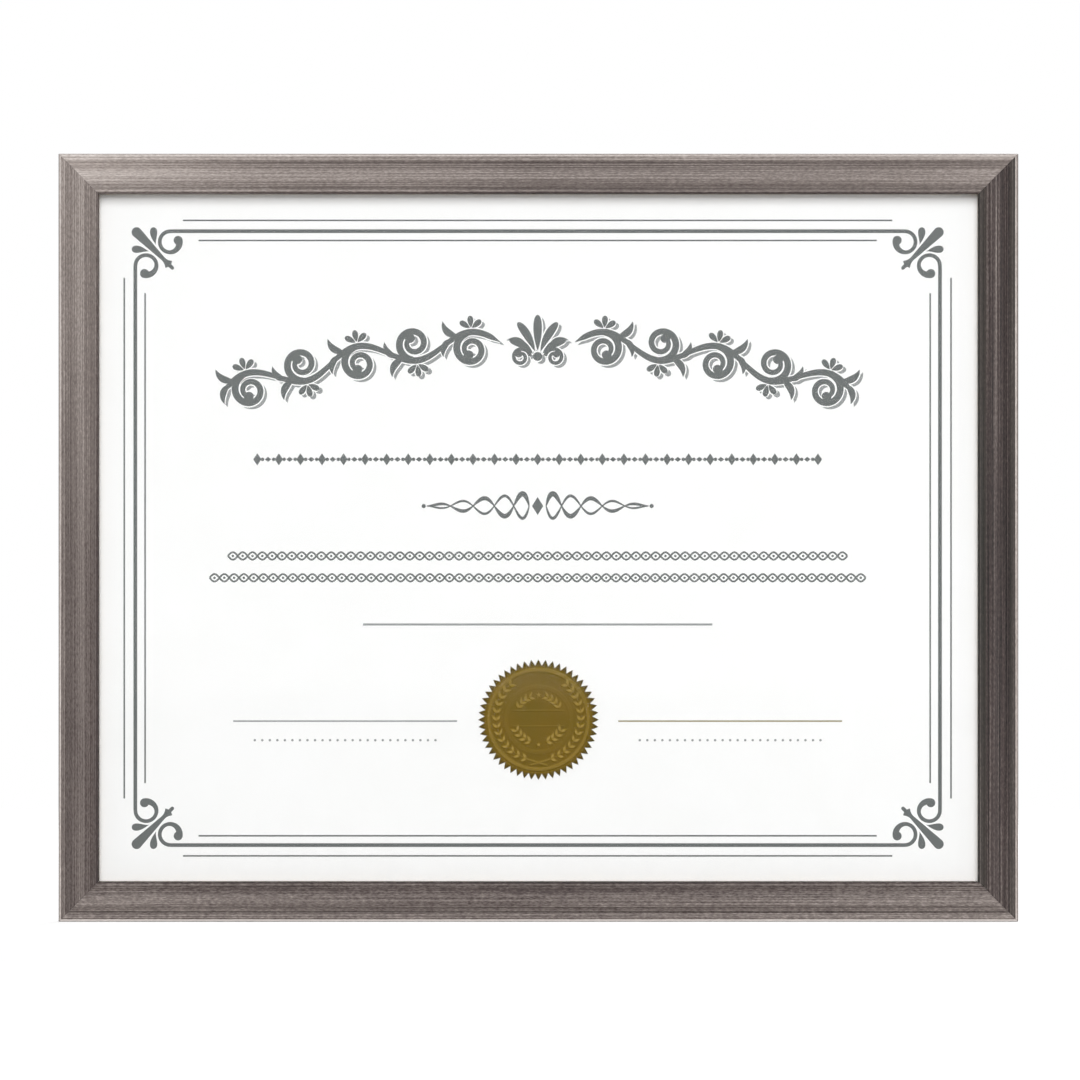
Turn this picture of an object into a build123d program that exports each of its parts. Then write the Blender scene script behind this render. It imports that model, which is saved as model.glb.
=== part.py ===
from build123d import *
import math
import os

# A wall-hung certificate frame: four mitred rails, glazing, certificate with a foil seal, filler and
# backing boards held by turn buttons, with hangers and bumpers on the back.
# Millimetres. +Z is up, the front faces -Y, and Y = 0 is the wall plane behind the bumpers.
# The origin is the middle of that plane. Left and right are as seen from the front.

# Sheets that lie in the rabbet, from front to back
SHEET_WIDTH = 355.6
SHEET_HEIGHT = 279.4
GLAZING_THICKNESS = 2.0
GLAZING_EDGE = 0.3
CERTIFICATE_THICKNESS = 0.3
FILLER_THICKNESS = 1.5
BACKING_THICKNESS = 3.0
BACKING_EDGE = 0.4
SHEET_CLEARANCE = 1.0

# Moulding section, outer edge to sight edge
FACE_WIDTH = 15.9
LIP_WIDTH = 4.0
MOULDING_DEPTH = 15.0
BACK_CHAMFER = 0.5
BEAD_RADIUS = 1.5
BEAD_WIDTH = 3.5
BEAD_DROP = 1.0
BEAD_FALL = 0.5
QUIRK_WIDTH = 0.7
QUIRK_DEPTH = 0.4
FILLET_WIDTH = 1.6
STEP_RISE = 0.4
CUSHION_CREST_INSET = 2.95
CUSHION_OUTER_FALL = 0.5
CUSHION_INNER_FALL = 1.6
SIGHT_QUIRK_WIDTH = 0.55
SIGHT_QUIRK_DEPTH = 0.4
SIGHT_BEAD_WIDTH = 1.5
SIGHT_BEAD_RADIUS = 0.7

# Corner V-nails, two across each mitre, driven in from the back
V_NAIL_LEG = 4.5
V_NAIL_THICKNESS = 0.5
V_NAIL_DEPTH = 6.0
V_NAIL_HALF_ANGLE = 55.0
V_NAIL_SPACING = 7.0

# Foil seal on the certificate
SEAL_TEETH = 52
SEAL_TIP_RADIUS = 24.0
SEAL_ROOT_RADIUS = 21.5
SEAL_FOIL = 0.25
SEAL_RELIEF = 0.2
SEAL_OUTER_RIM_RADIUS = 19.9
SEAL_INNER_RIM_RADIUS = 13.1
SEAL_RIM_WIDTH = 1.3
SEAL_BELOW_CENTRE = 72.5

# Turn buttons and their screws
BUTTON_THICKNESS = 1.0
BUTTON_EYE_RADIUS = 5.0
BUTTON_TIP_RADIUS = 3.0
BUTTON_REACH = 15.0
BUTTON_EDGE = 0.25
BUTTON_LIFT = 0.1
RIB_WIDTH = 2.4
RIB_LENGTH = 6.0
RIB_HEIGHT = 0.6
RIB_EDGE = 0.3
RIB_START = 7.0
BUTTON_SPACING_ACROSS = 177.8
BUTTON_SPACING_UP = 139.7
SCREW_SHANK_RADIUS = 1.4
SCREW_LENGTH = 9.0
SCREW_POINT = 2.5
SCREW_HEAD_RADIUS = 2.8
SCREW_HEAD_HEIGHT = 1.5
SCREW_HEAD_ROUND = 0.9
RECESS_LENGTH = 3.0
RECESS_WIDTH = 0.8
RECESS_DEPTH = 0.8
PIVOT_CLEARANCE = 0.1
HEAD_CLEARANCE = 0.05
PILOT_CLEARANCE = 0.02
PILOT_SPARE = 0.5

# Sawtooth hangers and their nails
HANGER_LENGTH = 46.0
HANGER_HEIGHT = 8.0
HANGER_THICKNESS = 0.8
HANGER_STANDOFF = 1.6
HANGER_TAB = 6.5
HANGER_RAMP = 2.0
HANGER_CORNER = 1.5
TOOTH_PITCH = 2.2
TOOTH_DEPTH = 1.2
NAIL_SHANK_RADIUS = 0.8
NAIL_LENGTH = 9.0
NAIL_POINT = 2.0
NAIL_HEAD_RADIUS = 1.7
NAIL_HEAD_HEIGHT = 0.6
NAIL_HEAD_ROUND = 0.3

# Wall bumpers
BUMPER_RADIUS = 5.0
BUMPER_HEIGHT = 3.2
BUMPER_EDGE = 1.0
BUMPER_INSET = 26.0

# Sizes that follow from the ones above
SEAL_HEIGHT = SEAL_FOIL + SEAL_RELIEF
RABBET_DEPTH = (
    GLAZING_THICKNESS + SEAL_HEIGHT + CERTIFICATE_THICKNESS + FILLER_THICKNESS + BACKING_THICKNESS
)
LAND_WIDTH = FACE_WIDTH - LIP_WIDTH
OUTER_WIDTH = SHEET_WIDTH + 2 * (SHEET_CLEARANCE + LAND_WIDTH)
OUTER_HEIGHT = SHEET_HEIGHT + 2 * (SHEET_CLEARANCE + LAND_WIDTH)
BACK_Y = -BUMPER_HEIGHT
BUTTON_Y = BACK_Y + BUTTON_LIFT
SCREW_SEAT_Y = BUTTON_Y + BUTTON_THICKNESS + HEAD_CLEARANCE
NAIL_SEAT_Y = BACK_Y + HANGER_THICKNESS
BACKING_FRONT_Y = BACK_Y - BACKING_THICKNESS
FILLER_FRONT_Y = BACKING_FRONT_Y - FILLER_THICKNESS
CERTIFICATE_FRONT_Y = FILLER_FRONT_Y - CERTIFICATE_THICKNESS
SEAL_FRONT_Y = CERTIFICATE_FRONT_Y - SEAL_HEIGHT
NAIL_OFFSET = (HANGER_LENGTH - HANGER_TAB) / 2

# Each rail is the lower rail turned about Y by an angle in degrees
SIDE_ANGLES = {"bottom": 0, "right": -90, "top": 180, "left": 90}

# Turn buttons: name, rail, sign of the place along that rail before it is turned
BUTTONS = {
    "bottom_left": ("bottom", -1),
    "bottom_right": ("bottom", 1),
    "top_left": ("top", 1),
    "top_right": ("top", -1),
    "left_upper": ("left", -1),
    "left_lower": ("left", 1),
    "right_upper": ("right", 1),
    "right_lower": ("right", -1),
}

# Hangers: the way the certificate hangs, and the rail that is then uppermost
HANGERS = {"landscape": "top", "portrait": "left"}


def slab(outline, back_y, thickness):
    """Outline in (x, z), from back_y forwards by the thickness."""
    plane = Plane(origin=(0, back_y, 0), x_dir=(1, 0, 0), z_dir=(0, -1, 0))
    return extrude(plane * outline, amount=thickness)


def rearward(x, y, z):
    """Plane at a point of the back, whose normal points at the wall."""
    return Plane(origin=(x, y, z), x_dir=(1, 0, 0), z_dir=(0, 1, 0))


def turned(shape, side):
    """A shape made on the lower rail, turned onto the named rail."""
    return Rot(0, SIDE_ANGLES[side], 0) * shape


def rail_length(side):
    """Length of the named rail along its outer edge."""
    return OUTER_WIDTH if side in ("top", "bottom") else OUTER_HEIGHT


def rail_span(side):
    """Distance from the named rail's outer edge to the opposite rail's."""
    return OUTER_HEIGHT if side in ("top", "bottom") else OUTER_WIDTH


def land_middle(side):
    """Height of the middle of the lower rail's back land, before it is turned onto the side."""
    return -rail_span(side) / 2 + LAND_WIDTH / 2


def moulding_section():
    """Section of a rail: u runs inwards from the outer edge, v forwards from the back."""
    bead_top = MOULDING_DEPTH - BEAD_DROP
    bead_foot = bead_top - BEAD_FALL
    quirk_floor = bead_foot - QUIRK_DEPTH
    fillet_start = BEAD_WIDTH + QUIRK_WIDTH
    step = fillet_start + FILLET_WIDTH
    cushion_start = MOULDING_DEPTH - CUSHION_OUTER_FALL
    cushion_end = MOULDING_DEPTH - CUSHION_INNER_FALL
    sight_bead_start = FACE_WIDTH - SIGHT_BEAD_WIDTH
    cushion_edge = sight_bead_start - SIGHT_QUIRK_WIDTH
    sight_floor = cushion_end - SIGHT_QUIRK_DEPTH
    fillet_top = cushion_start - STEP_RISE
    outer_wall = Polyline((LAND_WIDTH, 0), (BACK_CHAMFER, 0), (0, BACK_CHAMFER), (0, bead_top - BEAD_RADIUS))
    bead_round = TangentArc((0, bead_top - BEAD_RADIUS), (BEAD_RADIUS, bead_top), tangent=(0, 1))
    bead_back = TangentArc((BEAD_RADIUS, bead_top), (BEAD_WIDTH, bead_foot), tangent=(1, 0))
    quirk_and_fillet = Polyline(
        (BEAD_WIDTH, bead_foot),
        (BEAD_WIDTH, quirk_floor),
        (fillet_start, quirk_floor),
        (fillet_start, fillet_top),
        (step, fillet_top),
        (step, cushion_start),
    )
    cushion = ThreePointArc(
        (step, cushion_start), (step + CUSHION_CREST_INSET, MOULDING_DEPTH), (cushion_edge, cushion_end)
    )
    sight_quirk = Polyline(
        (cushion_edge, cushion_end),
        (cushion_edge, sight_floor),
        (sight_bead_start, sight_floor),
        (sight_bead_start, cushion_end),
        (FACE_WIDTH - SIGHT_BEAD_RADIUS, cushion_end),
    )
    sight_round = TangentArc(
        (FACE_WIDTH - SIGHT_BEAD_RADIUS, cushion_end),
        (FACE_WIDTH, cushion_end - SIGHT_BEAD_RADIUS),
        tangent=(1, 0),
    )
    rabbet = Polyline(
        (FACE_WIDTH, cushion_end - SIGHT_BEAD_RADIUS),
        (FACE_WIDTH, RABBET_DEPTH),
        (LAND_WIDTH, RABBET_DEPTH),
        (LAND_WIDTH, 0),
    )
    lines = [
        outer_wall, bead_round, bead_back, quirk_and_fillet, cushion, sight_quirk, sight_round, rabbet
    ]
    return make_face(Curve() + lines)


def mitred_moulding(length, span):
    """The lower rail as a length of moulding, mitred at 45 degrees at both ends."""
    section_plane = Plane(origin=(0, BACK_Y, -span / 2), x_dir=(0, 0, 1), z_dir=(1, 0, 0))
    rail = extrude(section_plane * moulding_section(), amount=length / 2, both=True)
    for end in (-1, 1):
        mitre = Plane(origin=(end * length / 2, 0, -span / 2), z_dir=(end, 0, 1))
        rail = split(rail, bisect_by=mitre, keep=Keep.BOTTOM)
    return rail


def v_outline():
    """Chevron with its apex at the origin and its legs opening along +z."""
    angle = math.radians(V_NAIL_HALF_ANGLE)
    leg_x = V_NAIL_LEG * math.sin(angle)
    leg_z = V_NAIL_LEG * math.cos(angle)
    inner_x = leg_x - V_NAIL_THICKNESS * math.cos(angle)
    inner_z = leg_z + V_NAIL_THICKNESS * math.sin(angle)
    points = [
        (0, 0),
        (leg_x, leg_z),
        (inner_x, inner_z),
        (0, V_NAIL_THICKNESS / math.sin(angle)),
        (-inner_x, inner_z),
        (-leg_x, leg_z),
    ]
    return make_face(Polyline(*points, close=True))


def at_each_mitre(shape):
    """Copies of a shape, made at the origin, on every mitre, opening towards the frame's middle."""
    middle = LAND_WIDTH / 2 * math.sqrt(2)
    copies = []
    for across in (-1, 1):
        for up in (-1, 1):
            corner_x = across * OUTER_WIDTH / 2
            corner_z = up * OUTER_HEIGHT / 2
            turn = math.degrees(math.atan2(-across, -up))
            for offset in (-V_NAIL_SPACING / 2, V_NAIL_SPACING / 2):
                inset = (middle + offset) / math.sqrt(2)
                place = Pos(corner_x - across * inset, 0, corner_z - up * inset)
                copies.append(place * Rot(0, turn, 0) * shape)
    return copies


def corner_v_nails():
    """The V-nails, driven in until they are flush with the back of the rails."""
    return at_each_mitre(slab(v_outline(), BACK_Y, V_NAIL_DEPTH))


def headed_pin(shank_radius, length, point, head_radius, head_height, head_round):
    """A round-headed pin along Z: the head sits above z = 0, the shank runs down to its point."""
    head = Pos(0, 0, head_height / 2) * Cylinder(head_radius, head_height)
    head = fillet(head.faces().sort_by(Axis.Z)[-1].edges(), head_round)
    straight = length - point
    shank = Pos(0, 0, -straight / 2) * Cylinder(shank_radius, straight)
    tip = Pos(0, 0, -straight - point / 2) * Cone(0, shank_radius, point)
    return head + shank + tip


def screw():
    """A round-headed wood screw with a cross recess."""
    body = headed_pin(
        SCREW_SHANK_RADIUS, SCREW_LENGTH, SCREW_POINT, SCREW_HEAD_RADIUS, SCREW_HEAD_HEIGHT, SCREW_HEAD_ROUND
    )
    recess_middle = Pos(0, 0, SCREW_HEAD_HEIGHT - RECESS_DEPTH / 2)
    recess = Box(RECESS_LENGTH, RECESS_WIDTH, RECESS_DEPTH) + Box(RECESS_WIDTH, RECESS_LENGTH, RECESS_DEPTH)
    return body - recess_middle * recess


def nail():
    """A small hanger nail."""
    return headed_pin(
        NAIL_SHANK_RADIUS, NAIL_LENGTH, NAIL_POINT, NAIL_HEAD_RADIUS, NAIL_HEAD_HEIGHT, NAIL_HEAD_ROUND
    )


def pilot_hole(shank_radius, length):
    """The hole that a pin fills, down from z = 0, a little longer than the pin."""
    depth = length + PILOT_SPARE
    return Pos(0, 0, -depth / 2) * Cylinder(shank_radius + PILOT_CLEARANCE, depth)


def button_place(side, sign):
    """Where a turn button's screw stands on the lower rail, as (x, z)."""
    spacing = BUTTON_SPACING_ACROSS if side in ("top", "bottom") else BUTTON_SPACING_UP
    return sign * spacing / 2, land_middle(side)


def at_buttons(shape, seat_y):
    """Copies of a shape on every turn button's axis, seated at a depth, with the rail each is on."""
    copies = []
    for side, sign in BUTTONS.values():
        x, z = button_place(side, sign)
        copies.append((side, turned(rearward(x, seat_y, z) * shape, side)))
    return copies


def at_hanger_nails(shape):
    """Copies of a shape on every hanger nail's axis, with the rail each is on."""
    copies = []
    for side in HANGERS.values():
        for sign in (-1, 1):
            place = rearward(sign * NAIL_OFFSET, NAIL_SEAT_Y, land_middle(side))
            copies.append((side, turned(place * shape, side)))
    return copies


def rail(side):
    """One rail with its pilot holes and the slots of the V-nails at its mitres."""
    body = turned(mitred_moulding(rail_length(side), rail_span(side)), side)
    body -= corner_v_nails()
    holes = at_buttons(pilot_hole(SCREW_SHANK_RADIUS, SCREW_LENGTH), SCREW_SEAT_Y)
    holes += at_hanger_nails(pilot_hole(NAIL_SHANK_RADIUS, NAIL_LENGTH))
    return body - [hole for on_side, hole in holes if on_side == side]


def teardrop():
    """Outline of a turn button: an eye circle at the origin and a tip circle, joined by tangents."""
    lean = math.asin((BUTTON_EYE_RADIUS - BUTTON_TIP_RADIUS) / BUTTON_REACH)
    eye_x = BUTTON_EYE_RADIUS * math.cos(lean)
    eye_z = BUTTON_EYE_RADIUS * math.sin(lean)
    tip_x = BUTTON_TIP_RADIUS * math.cos(lean)
    tip_z = BUTTON_REACH + BUTTON_TIP_RADIUS * math.sin(lean)
    lines = [
        Line((eye_x, eye_z), (tip_x, tip_z)),
        ThreePointArc((tip_x, tip_z), (0, BUTTON_REACH + BUTTON_TIP_RADIUS), (-tip_x, tip_z)),
        Line((-tip_x, tip_z), (-eye_x, eye_z)),
        ThreePointArc((-eye_x, eye_z), (0, -BUTTON_EYE_RADIUS), (eye_x, eye_z)),
    ]
    return make_face(Curve() + lines)


def turn_button(side, sign):
    """A teardrop plate on its screw, with a pressed rib, its tip over the backing board."""
    x, z = button_place(side, sign)
    back_y = BUTTON_Y + BUTTON_THICKNESS
    outline = teardrop() - Circle(SCREW_SHANK_RADIUS + PIVOT_CLEARANCE)
    plate = slab(outline, back_y, BUTTON_THICKNESS)
    outer_edges = plate.faces().sort_by(Axis.Y)[-1].outer_wire().edges()
    plate = chamfer(outer_edges, BUTTON_EDGE)
    rib_outline = SlotCenterToCenter(RIB_LENGTH - RIB_WIDTH, RIB_WIDTH, 90)
    rib = slab(Pos(0, RIB_START + RIB_LENGTH / 2) * rib_outline, back_y + RIB_HEIGHT, RIB_HEIGHT)
    rib = chamfer(rib.faces().sort_by(Axis.Y)[-1].edges(), RIB_EDGE)
    return turned(Pos(x, 0, z) * (plate + rib), side)


def sawtooth_hanger(side):
    """A steel strip whose raised middle has teeth on its inner edge, and whose ends lie on the rail."""
    half = HANGER_LENGTH / 2
    ramp_foot = half - HANGER_TAB
    ramp_head = ramp_foot - HANGER_RAMP
    near_rail = [
        (-half, 0),
        (-ramp_foot, 0),
        (-ramp_head, HANGER_STANDOFF),
        (ramp_head, HANGER_STANDOFF),
        (ramp_foot, 0),
        (half, 0),
    ]
    near_wall = [(x, y + HANGER_THICKNESS) for x, y in reversed(near_rail)]
    strip_plane = Plane(origin=(0, BACK_Y, 0), x_dir=(1, 0, 0), z_dir=(0, 0, 1))
    strip = extrude(
        strip_plane * make_face(Polyline(*near_rail, *near_wall, close=True)),
        amount=HANGER_HEIGHT / 2,
        both=True,
    )
    reach = HANGER_STANDOFF + HANGER_THICKNESS
    strip &= slab(RectangleRounded(HANGER_LENGTH, HANGER_HEIGHT, HANGER_CORNER), BACK_Y + reach, reach)
    edge = HANGER_HEIGHT / 2
    teeth = int(2 * ramp_head // TOOTH_PITCH)
    for tooth in range(teeth):
        middle = (tooth - (teeth - 1) / 2) * TOOTH_PITCH
        corners = [
            (middle - TOOTH_PITCH / 2, edge), (middle, edge - TOOTH_DEPTH), (middle + TOOTH_PITCH / 2, edge)
        ]
        strip -= slab(make_face(Polyline(*corners, close=True)), BACK_Y + reach, reach)
    for sign in (-1, 1):
        eye = Pos(sign * NAIL_OFFSET, 0) * Circle(NAIL_SHANK_RADIUS + PILOT_CLEARANCE)
        strip -= slab(eye, BACK_Y + reach, reach)
    return turned(Pos(0, 0, land_middle(side)) * strip, side)


def wall_bumpers():
    """Round rubber pads on the backs of the top and bottom rails, near the corners."""
    pad = Pos(0, 0, BUMPER_HEIGHT / 2) * Cylinder(BUMPER_RADIUS, BUMPER_HEIGHT)
    pad = fillet(pad.faces().sort_by(Axis.Z)[-1].edges(), BUMPER_EDGE)
    pads = []
    for side in ("bottom", "top"):
        for sign in (-1, 1):
            place = rearward(sign * (OUTER_WIDTH / 2 - BUMPER_INSET), BACK_Y, land_middle(side))
            pads.append(turned(place * pad, side))
    return pads


def sheet(back_y, thickness):
    """A sheet of the certificate's size, standing in the rabbet."""
    return slab(Rectangle(SHEET_WIDTH, SHEET_HEIGHT), back_y, thickness)


def edged_sheet(back_y, thickness, edge):
    """A stiff sheet whose long edges are broken all round."""
    panel = sheet(back_y, thickness)
    faces = panel.faces().sort_by(Axis.Y)
    return chamfer(faces[0].edges() + faces[-1].edges(), edge)


def foil_seal():
    """A toothed disc with two raised rims, stuck to the front of the certificate."""
    points = []
    for index in range(2 * SEAL_TEETH):
        radius = SEAL_ROOT_RADIUS if index % 2 else SEAL_TIP_RADIUS
        angle = math.pi * index / SEAL_TEETH
        points.append((radius * math.sin(angle), radius * math.cos(angle)))
    centre = Pos(0, -SEAL_BELOW_CENTRE)
    seal = slab(centre * make_face(Polyline(*points, close=True)), CERTIFICATE_FRONT_Y, SEAL_FOIL)
    for middle in (SEAL_OUTER_RIM_RADIUS, SEAL_INNER_RIM_RADIUS):
        ring = Circle(middle + SEAL_RIM_WIDTH / 2) - Circle(middle - SEAL_RIM_WIDTH / 2)
        seal += slab(centre * ring, CERTIFICATE_FRONT_Y - SEAL_FOIL, SEAL_RELIEF)
    return seal


nodes = {f"{side}_rail": [rail(side)] for side in SIDE_ANGLES}
nodes["corner_v_nails"] = corner_v_nails()
nodes["glazing"] = [edged_sheet(SEAL_FRONT_Y, GLAZING_THICKNESS, GLAZING_EDGE)]
nodes["foil_seal"] = [foil_seal()]
nodes["certificate_sheet"] = [sheet(FILLER_FRONT_Y, CERTIFICATE_THICKNESS)]
nodes["filler_board"] = [sheet(BACKING_FRONT_Y, FILLER_THICKNESS)]
nodes["backing_board"] = [edged_sheet(BACK_Y, BACKING_THICKNESS, BACKING_EDGE)]
for name, (side, sign) in BUTTONS.items():
    nodes[f"turn_button_{name}"] = [turn_button(side, sign)]
nodes["turn_button_screws"] = [pin for _, pin in at_buttons(screw(), SCREW_SEAT_Y)]
for name, side in HANGERS.items():
    nodes[f"sawtooth_hanger_{name}"] = [sawtooth_hanger(side)]
nodes["hanger_nails"] = [pin for _, pin in at_hanger_nails(nail())]
nodes["wall_bumpers"] = wall_bumpers()

os.makedirs("parts", exist_ok=True)
for name, shapes in nodes.items():
    solids = [solid for shape in shapes for solid in shape.solids()]
    export_step(Compound(children=solids), f"parts/{name}.step")
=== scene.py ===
"""Dresses a certificate frame: brushed wood moulding, printed sheet, foil seal, glass and back hardware.

Sizes are millimetres in the frame's own axes: x to the right, z up, and the front faces -y.
"""
import math

import bpy
import numpy as np
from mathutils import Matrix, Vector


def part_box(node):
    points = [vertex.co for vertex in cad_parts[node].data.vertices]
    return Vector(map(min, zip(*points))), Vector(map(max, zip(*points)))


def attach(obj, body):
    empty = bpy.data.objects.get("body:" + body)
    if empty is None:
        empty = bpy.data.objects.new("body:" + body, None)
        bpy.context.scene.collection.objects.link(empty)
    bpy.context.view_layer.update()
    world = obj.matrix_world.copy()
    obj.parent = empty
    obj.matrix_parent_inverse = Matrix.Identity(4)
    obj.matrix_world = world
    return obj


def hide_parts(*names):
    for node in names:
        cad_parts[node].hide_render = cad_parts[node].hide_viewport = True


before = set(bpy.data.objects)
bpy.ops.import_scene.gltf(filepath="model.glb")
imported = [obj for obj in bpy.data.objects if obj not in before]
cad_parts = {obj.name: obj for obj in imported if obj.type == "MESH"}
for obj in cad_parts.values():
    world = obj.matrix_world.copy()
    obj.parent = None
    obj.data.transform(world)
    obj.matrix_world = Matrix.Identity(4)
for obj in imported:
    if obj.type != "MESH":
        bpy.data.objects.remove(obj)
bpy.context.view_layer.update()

MM = 0.001


def corners(node):
    """Lowest and highest corner of a CAD node, in millimetres."""
    return [np.array(corner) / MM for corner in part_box(node)]


# Places that follow from the CAD nodes
RAIL_LOW, RAIL_HIGH = corners("top_rail")
OUTER_WIDTH = RAIL_HIGH[0] - RAIL_LOW[0]
OUTER_HEIGHT = 2 * RAIL_HIGH[2]
FACE_WIDTH = RAIL_HIGH[2] - RAIL_LOW[2]
RAIL_BACK = RAIL_HIGH[1]
RABBET_DEPTH = RAIL_BACK - corners("glazing")[0][1]
PAPER_FRONT = corners("certificate_sheet")[0][1]
SEAL_LOW, SEAL_HIGH = corners("foil_seal")

# Moulding section: widths run in from the outer edge, heights forward from the back
LIP_WIDTH = 4.0
BACK_CHAMFER = 0.5
BEAD_RADIUS = 1.5
BEAD_WIDTH = 3.5
BEAD_TOP = 14.0
BEAD_END = 13.5
QUIRK_WIDTH = 0.7
QUIRK_FLOOR = 13.1
FILLET_WIDTH = 1.6
FILLET_TOP = 14.1
REED_WIDTH = 0.28
REED_DEPTH = 0.16
REED_PLACES = (0.55, 1.2)
CUSHION_EDGE = 14.5
CUSHION_CREST = 15.0
CUSHION_CREST_INSET = 2.95
CUSHION_END = 13.4
SIGHT_QUIRK_WIDTH = 0.55
SIGHT_QUIRK_FLOOR = 13.0
SIGHT_BEAD_WIDTH = 1.5
SIGHT_BEAD_RADIUS = 0.7
FACE_STEP = 0.14
BACK_STEP = 1.0

# Brushed grain of the moulding. A layer's values are the length and width of its lines, and its weight.
ALONG_STEP = 1.6
GRAIN_DEPTH = 0.03
BACK_RECESS = 0.03
MITRE_GAP = 0.05
GRAIN_LAYERS = ((70.0, 0.125, 0.8), (10.0, 0.12, 0.4), (110.0, 0.35, 0.3))
GRAIN_LIMITS = (-1.7, 1.8)
WIDE_BLUR = 2.2
GRAIN_SPACING = 500.0

# Staining with painted shade, and worn pale edges with a painted highlight, across the moulding, by width in
# from the outer edge. A band ends with its soft width.
# Darker in the quirks by staining and painted shade, a painted highlight on the cushion's crest, painted
# shade down the cushion's fall to the sight edge, and a dark painted shade on the lip's inner side
STAIN_AND_SHADE_PLACES = (0.4, 3.1, 3.5, 4.2, 4.6, 6.8, 8.8, 9.6, 10.6, 13.0, 13.9, 14.4, 14.7, 15.0, 15.3)
STAIN_AND_SHADE_DEPTHS = (0.0, 0.05, 0.15, 0.15, 0.1, 0.1, -0.25, -0.25, 0.15, 0.3, 0.4, 0.4, 0.05, 0.15, 1.5)
# Middle and reach of the shade tilt: painted shade on the sight side of the crest and a painted highlight on
# the outer side
SHADE_TILT_MIDDLE = 8.8
SHADE_TILT_REACH = 4.0
# Painted shade on the rail's outer side, seen as a dark line at the outer edge
OUTER_SIDE_SHADE_EDGE = (0.2, 0.4)
# The arris band is worn pale with a painted highlight, and so is the band on the outer bead
ARRIS_START = 0.3
ARRIS_SOFT = 0.2
BEAD_RUB_AND_HIGHLIGHT_BAND = (1.3, 2.4, 0.6)
GLINT_BAND = (14.6, 15.05, 0.15)
# Olive painted shade over the outer bead and at the sight edge
EDGE_SHADE_BANDS = ((1.5, 3.3, 0.3), (13.0, 15.4, 0.5))

# Print on the certificate: half sizes from the middle of the sheet
PRINT_SHIFT = (-0.32, -0.16)
INK_HEIGHT = 0.03
INK_SINK = 0.01
INK_LEVELS = 9
VINE_LEVELS = 7
INK_LEVEL_STEP = 0.003
FINEST = 0.02
THICK_RULE = (160.3, 122.3)
OUTER_RULE = (164.7, 126.6)
INNER_RULE = (156.4, 118.6)
OUTER_RULE_REACH = (141.3, 103.7)
INNER_RULE_REACH = (135.1, 97.6)
THICK_RULE_WIDTH = 1.48
THIN_RULE_WIDTH = 0.62

# Camera, set so that the outer edge fills as much of a square picture as in the photograph
CAMERA_DISTANCE = 3000.0
VIEW_WIDTH = 428.85
VIEW_OFFSET = (0.62, -0.9)


# Meshes


def add_piece(name, points, faces, finish, attributes=None, replaces=(), sharp=40.0):
    """Makes a mesh of points in millimetres, smooth but for its sharp edges, that rides on the frame."""
    mesh = bpy.data.meshes.new(name)
    mesh.from_pydata((np.asarray(points) * MM).tolist(), [], faces)
    mesh.polygons.foreach_set("use_smooth", np.ones(len(mesh.polygons), dtype=bool))
    mesh.set_sharp_from_angle(angle=math.radians(sharp))
    for label, values in (attributes or {}).items():
        values = np.asarray(values, dtype=np.float32)
        if values.ndim == 2:
            mesh.attributes.new(label, "FLOAT_VECTOR", "POINT").data.foreach_set("vector", values.ravel())
        else:
            mesh.attributes.new(label, "FLOAT", "POINT").data.foreach_set("value", values)
    mesh.materials.append(finish)
    piece = bpy.data.objects.new(name, mesh)
    bpy.context.scene.collection.objects.link(piece)
    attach(piece, "frame")
    if replaces:
        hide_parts(*replaces)
    return piece


def ring_quads(rings, ring):
    """Quads between neighbouring rings of so many points."""
    here = np.arange(ring)
    after = np.roll(here, -1)
    start = np.arange(rings - 1)[:, None] * ring
    quads = np.stack([start + here, start + after, start + ring + after, start + ring + here], axis=-1)
    return quads.reshape(-1, 4).tolist()


def tube_faces(stations, ring):
    """Faces of a closed tube: quads between its rings and one face over each end."""
    here = np.arange(ring)
    ends = [here[::-1].tolist(), (here + (stations - 1) * ring).tolist()]
    return ring_quads(stations, ring) + ends


def dome_faces(rings, ring):
    """Faces of a closed shell of nested rings: quads between rings and a fan to a pole at each end."""
    here = np.arange(ring)
    after = np.roll(here, -1)
    first_pole = rings * ring
    last = (rings - 1) * ring
    first_fan = np.stack([after, here, np.full(ring, first_pole)], axis=-1)
    last_fan = np.stack([last + here, last + after, np.full(ring, first_pole + 1)], axis=-1)
    return ring_quads(rings, ring) + first_fan.tolist() + last_fan.tolist()


def smooth_step(values, low, high):
    """0 below low and 1 above high, with a cubic ease between."""
    share = np.clip((values - low) / (high - low), 0, 1)
    return share * share * (3 - 2 * share)


def band(values, low, high, soft):
    """1 between low and high, fading to 0 over soft on either side."""
    return smooth_step(values, low - soft, low) * (1 - smooth_step(values, high, high + soft))


# Moulding rails


def straight(start, end, step):
    """Points on a line from start up to, but not including, end."""
    start, end = np.asarray(start, float), np.asarray(end, float)
    count = max(1, round(np.linalg.norm(end - start) / step))
    return start + np.arange(count)[:, None] / count * (end - start)


def polyline(turns, step):
    """Stretches of points, one for each line between neighbouring turns."""
    return [straight(start, end, step) for start, end in zip(turns, turns[1:])]


def arc(centre, start, end, step):
    """Points on a circle about centre, the short way from start up to, but not including, end."""
    first = np.subtract(start, centre)
    last = np.subtract(end, centre)
    radius = np.linalg.norm(first)
    angle = math.atan2(first[1], first[0])
    turn = (math.atan2(last[1], last[0]) - angle + math.pi) % (2 * math.pi) - math.pi
    count = max(2, round(abs(turn) * radius / step))
    angles = angle + turn * np.arange(count) / count
    return np.asarray(centre) + radius * np.stack([np.cos(angles), np.sin(angles)], axis=1)


def circle_centre(first, second, third):
    """Centre of the circle through three points: where the chords' middle lines meet."""
    first, second, third = (np.asarray(point, float) for point in (first, second, third))
    chords = np.stack([second - first, third - first])
    squares = np.sum(np.stack([second, third]) ** 2, axis=1) - np.sum(first ** 2)
    return np.linalg.solve(2 * chords, squares)


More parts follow.
